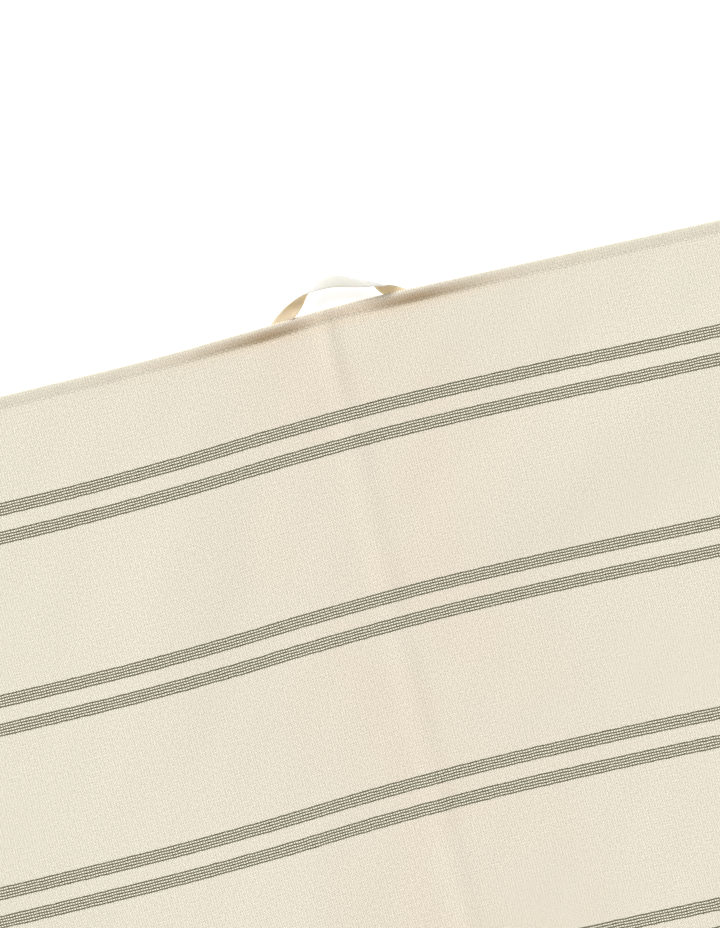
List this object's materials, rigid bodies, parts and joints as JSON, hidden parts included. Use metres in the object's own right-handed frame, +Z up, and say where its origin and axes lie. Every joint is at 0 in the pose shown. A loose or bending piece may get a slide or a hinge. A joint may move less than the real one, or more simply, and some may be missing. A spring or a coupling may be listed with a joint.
{
  "type": "beach towel",
  "caption": "Flat-woven cotton beach towel laid out face up, with sewn hems, woven pairs of cross stripes and a tape loop at one end for hanging.",
  "frame": {"origin": "on the surface that the towel lies on, under the middle of the towel and its loop", "axes": "+Z up from the surface, +Y along the towel towards the end with the hanging loop, +X across it"},
  "size_m": [1, 1.5332, 0.0189],
  "materials": {
    "towel_cotton": "coarse flat-woven cream cotton with dark olive-grey weft stripes, matt",
    "loop_tape": "woven off-white cotton tape, matt"
  },
  "bodies": {
    "root": {"towel": "towel_cotton", "hanging_loop": "loop_tape"}
  },
  "joints": []
}
